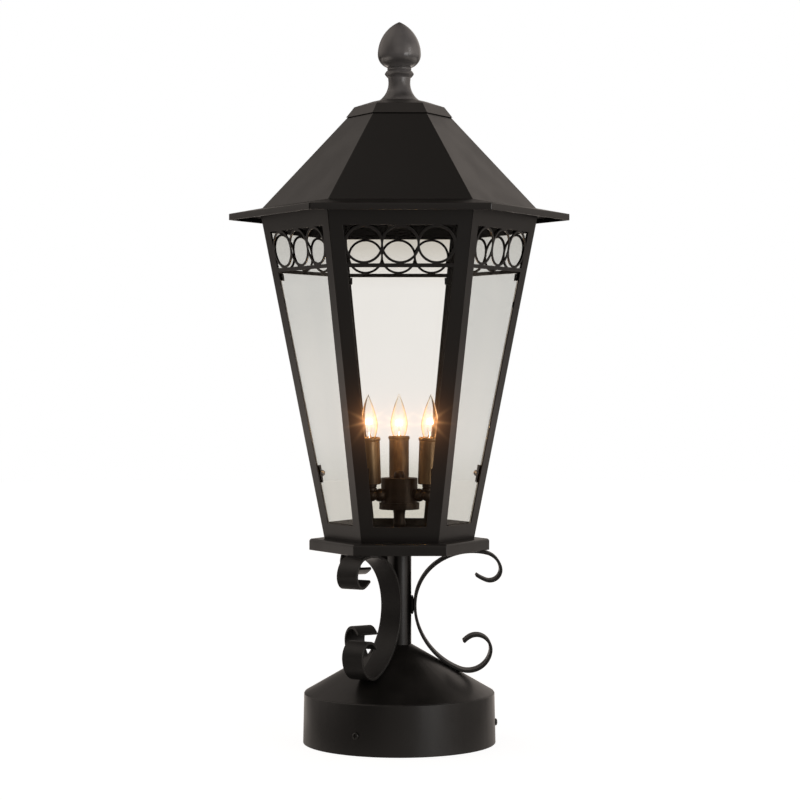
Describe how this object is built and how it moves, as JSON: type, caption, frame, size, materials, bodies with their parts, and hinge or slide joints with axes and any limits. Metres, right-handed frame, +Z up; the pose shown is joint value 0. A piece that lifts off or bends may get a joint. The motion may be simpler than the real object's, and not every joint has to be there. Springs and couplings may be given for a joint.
{
  "type": "victorian street lantern",
  "caption": "Six-sided pier-mount street lantern: pierced ring frieze, clear panes, candle cluster, acorn finial, scrolled stem and round cone base.",
  "frame": {"origin": "centre of the base's underside, where it stands on the pier", "axes": "+Z up along the stem, -Y towards the front pane, +X towards a corner of the body and one scroll"},
  "size_m": [0.3776, 0.3278, 0.7981],
  "materials": {
    "black_paint": "satin black powder coat",
    "grey_enamel": "dark grey satin enamel",
    "zinc_steel": "dull zinc plating",
    "pane_glass": "clear polished float glass",
    "antique_brass": "aged brown brass, lacquered",
    "dark_bronze": "dark bronze finish, satin",
    "socket_moulding": "matt phenolic moulding",
    "bulb_brass": "bright rolled brass",
    "bulb_glass": "clear blown glass",
    "lamp_mount": "glass stem with wires and a lit filament"
  },
  "bodies": {
    "root": {"base_collar": "black_paint", "base_cone": "black_paint", "bulb_base_1": "bulb_brass", "bulb_base_2": "bulb_brass", "bulb_base_3": "bulb_brass", "bulb_glass_1": "bulb_glass", "bulb_glass_2": "bulb_glass", "bulb_glass_3": "bulb_glass", "bulb_mount_1": "lamp_mount", "bulb_mount_2": "lamp_mount", "bulb_mount_3": "lamp_mount", "candle_arm_1": "dark_bronze", "candle_arm_2": "dark_bronze", "candle_arm_3": "dark_bronze", "candle_cup_1": "dark_bronze", "candle_cup_2": "dark_bronze", "candle_cup_3": "dark_bronze", "candle_sleeve_1": "antique_brass", "candle_sleeve_2": "antique_brass", "candle_sleeve_3": "antique_brass", "clip_nuts": "zinc_steel", "cluster_cover": "dark_bronze", "cluster_hub": "dark_bronze", "cluster_knob": "dark_bronze", "cluster_neck": "dark_bronze", "cluster_nipple": "zinc_steel", "collar_screws": "black_paint", "crown_cap": "black_paint", "finial": "grey_enamel", "floor_pan": "black_paint", "glass_clips": "black_paint", "glass_pane_1": "pane_glass", "glass_pane_2": "pane_glass", "glass_pane_3": "pane_glass", "glass_pane_4": "pane_glass", "glass_pane_5": "pane_glass", "glass_pane_6": "pane_glass", "lamp_socket_1": "socket_moulding", "lamp_socket_2": "socket_moulding", "lamp_socket_3": "socket_moulding", "pier_plate": "zinc_steel", "pipe_bush": "zinc_steel", "rod_nut": "zinc_steel", "roof_crossbar": "black_paint", "roof_rod": "zinc_steel", "roof_shell": "black_paint", "scroll_bar_1": "black_paint", "scroll_bar_2": "black_paint", "scroll_bar_3": "black_paint", "scroll_welds": "black_paint", "side_panel_1": "black_paint", "side_panel_2": "black_paint", "side_panel_3": "black_paint", "side_panel_4": "black_paint", "side_panel_5": "black_paint", "side_panel_6": "black_paint", "stem_pipe": "black_paint"}
  },
  "joints": []
}
